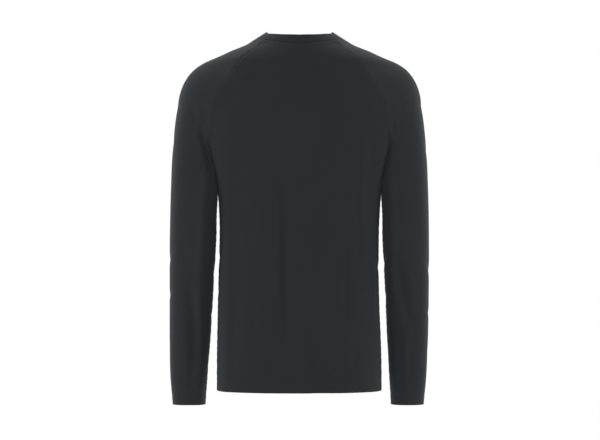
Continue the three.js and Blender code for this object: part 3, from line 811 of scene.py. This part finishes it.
def stitchTree():
    tree = bpy.data.node_groups.new("stitches", "GeometryNodeTree")
    face = tree.interface
    face.new_socket("Path", in_out="INPUT", socket_type="NodeSocketGeometry")
    for name in ("Stitch length", "Row spacing", "Thread thickness", "Sink"):
        face.new_socket(name, in_out="INPUT", socket_type="NodeSocketFloat")
    face.new_socket("Crossing", in_out="INPUT", socket_type="NodeSocketBool")
    face.new_socket("Thread", in_out="INPUT", socket_type="NodeSocketMaterial")
    face.new_socket("Stitches", in_out="OUTPUT", socket_type="NodeSocketGeometry")
    nodes, links = tree.nodes, tree.links
    given = nodes.new("NodeGroupInput").outputs

    def scaled(socket, factor):
        return calculate(tree, "MULTIPLY", socket, factor)

    def spot(x, y, z):
        node = nodes.new("ShaderNodeCombineXYZ")
        for socket, value in zip(node.inputs, (x, y, z)):
            if isinstance(value, (int, float)):
                socket.default_value = value
            else:
                links.new(value, socket)
        return node.outputs[0]

    # A thread comes out of the cloth at one end, and goes back in at the other.
    def arch(start, end, top):
        node = nodes.new("GeometryNodeCurveQuadraticBezier")
        node.inputs["Resolution"].default_value = 5
        links.new(start, node.inputs["Start"])
        links.new(top, node.inputs["Middle"])
        links.new(end, node.inputs["End"])
        return node.outputs[0]

    half = scaled(given["Stitch length"], 0.46)
    back = scaled(given["Stitch length"], -0.46)
    left = scaled(given["Row spacing"], 0.5)
    right = scaled(given["Row spacing"], -0.5)
    down = scaled(given["Sink"], -1.0)
    top = scaled(given["Sink"], 1.0)
    join = nodes.new("GeometryNodeJoinGeometry")
    for side in (left, right):
        links.new(arch(spot(back, side, down), spot(half, side, down), spot(0.0, side, top)), join.inputs[0])
    crossed = nodes.new("GeometryNodeJoinGeometry")
    for first, second in ((left, right), (right, left)):
        links.new(arch(spot(back, first, down), spot(half, second, down), spot(0.0, 0.0, scaled(top, 1.4))), crossed.inputs[0])
    choose = nodes.new("GeometryNodeSwitch")
    choose.input_type = "GEOMETRY"
    links.new(given["Crossing"], choose.inputs["Switch"])
    links.new(crossed.outputs[0], choose.inputs["True"])
    links.new(choose.outputs[0], join.inputs[0])
    ring = nodes.new("GeometryNodeCurvePrimitiveCircle")
    ring.inputs["Resolution"].default_value = 5
    links.new(scaled(given["Thread thickness"], 0.5), ring.inputs["Radius"])
    tube = nodes.new("GeometryNodeCurveToMesh")
    links.new(join.outputs[0], tube.inputs["Curve"])
    links.new(ring.outputs[0], tube.inputs["Profile Curve"])
    tube.inputs["Fill Caps"].default_value = True

    line = nodes.new("GeometryNodeMeshToCurve")
    links.new(given["Path"], line.inputs["Mesh"])
    evenly = nodes.new("GeometryNodeResampleCurve")
    evenly.mode = "LENGTH"
    links.new(line.outputs[0], evenly.inputs["Curve"])
    links.new(given["Stitch length"], evenly.inputs["Length"])
    facing = nodes.new("GeometryNodeInputNamedAttribute")
    facing.data_type = "FLOAT_VECTOR"
    facing.inputs["Name"].default_value = "facing"
    tangent = nodes.new("GeometryNodeInputTangent")
    upright = nodes.new("FunctionNodeAlignRotationToVector")
    upright.axis = "Z"
    links.new(facing.outputs[0], upright.inputs["Vector"])
    turned = nodes.new("FunctionNodeAlignRotationToVector")
    turned.axis = "X"
    turned.pivot_axis = "Z"
    links.new(upright.outputs[0], turned.inputs["Rotation"])
    links.new(tangent.outputs[0], turned.inputs["Vector"])
    lay = nodes.new("GeometryNodeInstanceOnPoints")
    links.new(evenly.outputs[0], lay.inputs["Points"])
    links.new(tube.outputs[0], lay.inputs["Instance"])
    links.new(turned.outputs[0], lay.inputs["Rotation"])
    real = nodes.new("GeometryNodeRealizeInstances")
    links.new(lay.outputs[0], real.inputs[0])
    paint = nodes.new("GeometryNodeSetMaterial")
    links.new(real.outputs[0], paint.inputs["Geometry"])
    links.new(given["Thread"], paint.inputs["Material"])
    done = nodes.new("NodeGroupOutput")
    links.new(paint.outputs[0], done.inputs[0])
    return tree


# Lays stitches along paths, each a line of spots and the way the cloth faces there. A closed one joins up.
def stitches(name, kind, paths):
    spots, facings, edges = [], [], []
    for points, facing, closed in paths:
        first = sum(len(s) for s in spots)
        count = len(points)
        spots.append(points + facing * sewing["rise"])
        facings.append(facing)
        edges += [(first + i, first + i + 1) for i in range(count - 1)]
        if closed:
            edges.append((first + count - 1, first))
    mesh = bpy.data.meshes.new(name)
    mesh.from_pydata((np.concatenate(spots) * metre).tolist(), edges, [])
    layer = mesh.attributes.new("facing", "FLOAT_VECTOR", "POINT")
    layer.data.foreach_set("vector", np.concatenate(facings).ravel())
    piece = bpy.data.objects.new(name, mesh)
    scene.collection.objects.link(piece)
    modifier = piece.modifiers.new("stitches", "NODES")
    modifier.node_group = stitching
    sizes = sewing[kind]
    for item in stitching.interface.items_tree:
        if item.in_out == "INPUT" and item.name in sizes:
            value = sizes[item.name]
            modifier[item.identifier] = value if isinstance(value, bool) else value * metre
        elif item.name == "Thread":
            modifier[item.identifier] = charcoalThread
    bpy.context.view_layer.update()
    result = bpy.data.meshes.new_from_object(piece.evaluated_get(bpy.context.evaluated_depsgraph_get()))
    piece.modifiers.remove(modifier)
    piece.data = result
    result.polygons.foreach_set("use_smooth", np.ones(len(result.polygons), bool))
    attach(piece, "root")
    print("sewing:", name, sum(len(p.vertices) - 2 for p in result.polygons), "triangles")
    return piece


stitching = stitchTree()


def column(panel, index, start, end=None):
    return panel["outer"][start:end, index], panel["normal"][start:end, index]


# The line at a distance down from a panel's neck edge.
def besideNeck(panel, distance):
    outer = panel["outer"]
    down = arcs(outer[::-1], 0)
    spots, facings = [], []
    for j in range(outer.shape[1]):
        spots.append([np.interp(distance, down[:, j], outer[::-1, j, k]) for k in range(3)])
        facings.append([np.interp(distance, down[:, j], panel["normal"][::-1, j, k]) for k in range(3)])
    return np.array(spots), unit(np.array(facings))


def atHeight(panel, low, depth):
    row = int(np.argmin(np.abs(rowSteps - depth)))
    return panel["outer"][row], panel["normal"][row]


def joinedUp(parts):
    return np.concatenate([p for p, _ in parts]), np.concatenate([n for _, n in parts]), True


def turnedBack(part):
    return part[0][::-1], part[1][::-1]


back, front = panels["back_cloth"], panels["front_cloth"]
left, right = panels["left_sleeve_cloth"], panels["right_sleeve_cloth"]
shares = yokeShares()
firstOpen = back["lowRows"] + int(np.searchsorted(shares, 0.19))
raglanPaths = [
    (*column(panel, index, firstOpen), False) for panel in (back, front) for index in (0, -1)
]
sidePaths = [(*column(back, index, 4, back["lowRows"] - 3), False) for index in (0, -1)]
underarmPaths = [(*column(panel, 0, 4, panel["lowRows"] - 3), False) for panel in (left, right)]
neckPath = joinedUp([
    besideNeck(back, 3.4), besideNeck(right, 3.4),
    turnedBack(besideNeck(front, 3.4)), turnedBack(besideNeck(left, 3.4)),
])
hemPath = joinedUp([atHeight(back, heights["hem"], 20.0), turnedBack(atHeight(front, heights["hem"], 20.0))])
cuffPaths = []
for panel in (left, right):
    spots, facing = atHeight(panel, heights["cuff"], 20.0)
    cuffPaths.append((spots[:-1], facing[:-1], True))

sewn = {
    "raglan_stitching": stitches("raglan_stitching", "flat", raglanPaths),
    "side_stitching": stitches("side_stitching", "flat", sidePaths),
    "underarm_stitching": stitches("underarm_stitching", "flat", underarmPaths),
    "neck_stitching": stitches("neck_stitching", "cover", [neckPath]),
    "hem_stitching": stitches("hem_stitching", "cover", [hemPath]),
    "cuff_stitching": stitches("cuff_stitching", "cover", cuffPaths),
}

for name, facts in pieces.items():
    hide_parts(facts["node"])


# The floor, the light and the camera.
studio = {
    "floorZ": -0.95,
    "floorRadius": 1.8,
    "ambient": 0.52,
    "lamps": [
        # name, place, aimed at, size, watts
        ("sideLeft", (3.0, 0.7, 0.2), (0.0, 0.0, -0.35), 1.6, 32),
        ("sideRight", (-3.0, 0.7, 0.2), (0.0, 0.0, -0.35), 1.6, 26),
        ("behind", (0.0, 5.2, -0.4), (0.0, 0.0, -0.35), 1.6, 140),
        ("before", (0.0, -5.2, -0.4), (0.0, 0.0, -0.35), 1.6, 126),
        ("frontLeft", (2.6, -2.0, 0.2), (0.0, 0.0, -0.35), 1.8, 25),
        ("frontRight", (-2.6, -2.0, 0.2), (0.0, 0.0, -0.35), 1.8, 25),
        ("aboveLeft", (1.2, -1.2, 2.2), (0.0, 0.0, -0.35), 1.6, 33),
        ("aboveRight", (-1.2, -1.2, 2.2), (0.0, 0.0, -0.35), 1.6, 33),
    ],
}


def floorPiece():
    mesh = bpy.data.meshes.new("floor")
    around = np.linspace(0, 2 * np.pi, 97)[:-1]
    points = [(studio["floorRadius"] * math.cos(a), studio["floorRadius"] * math.sin(a), studio["floorZ"]) for a in around]
    mesh.from_pydata(points, [], [tuple(range(len(points)))])
    floor = bpy.data.objects.new("floor", mesh)
    scene.collection.objects.link(floor)
    material, tree, shader = newMaterial("paleFloor")
    whole = tree.nodes.new("ShaderNodeTexCoord").outputs["Object"]
    shade = noiseAt(tree, whole, 6.0, 4.0)
    tree.links.new(colourBetween(tree, shade, (0.54, 0.54, 0.54, 1), (0.58, 0.58, 0.58, 1)), shader.inputs["Base Color"])
    shader.inputs["Roughness"].default_value = 0.9
    mesh.materials.append(material)


def aimed(obj, place, target):
    obj.location = place
    obj.rotation_euler = (Vector(target) - Vector(place)).to_track_quat("-Z", "Y").to_euler()
    scene.collection.objects.link(obj)


floorPiece()
for name, place, target, size, watts in studio["lamps"]:
    lamp = bpy.data.lights.new(name, "AREA")
    lamp.shape = "DISK"
    lamp.size = size
    lamp.energy = watts
    aimed(bpy.data.objects.new(name, lamp), place, target)

world = bpy.data.worlds.new("studio")
scene.world = world
world.use_nodes = True
sky = world.node_tree
ambient = sky.nodes["Background"]
ambient.inputs["Color"].default_value = (1, 1, 1, 1)
ambient.inputs["Strength"].default_value = studio["ambient"]
backdrop = sky.nodes.new("ShaderNodeBackground")
backdrop.inputs["Color"].default_value = (1, 1, 1, 1)
backdrop.inputs["Strength"].default_value = 1.0
seen = sky.nodes.new("ShaderNodeLightPath")
choose = sky.nodes.new("ShaderNodeMixShader")
sky.links.new(seen.outputs["Is Camera Ray"], choose.inputs[0])
sky.links.new(ambient.outputs[0], choose.inputs[1])
sky.links.new(backdrop.outputs[0], choose.inputs[2])
sky.links.new(choose.outputs[0], sky.nodes["World Output"].inputs["Surface"])

view = {"place": (-0.001, 5.5, -0.362), "lens": 165.0}
camera = bpy.data.cameras.new("camera")
camera.lens = view["lens"]
camera.sensor_width = 36.0
camera.clip_end = 50.0
cameraObject = bpy.data.objects.new("camera", camera)
aimed(cameraObject, view["place"], (view["place"][0], 0.0, view["place"][2]))
scene.camera = cameraObject
scene.view_settings.view_transform = "Standard"

print("scene: done")
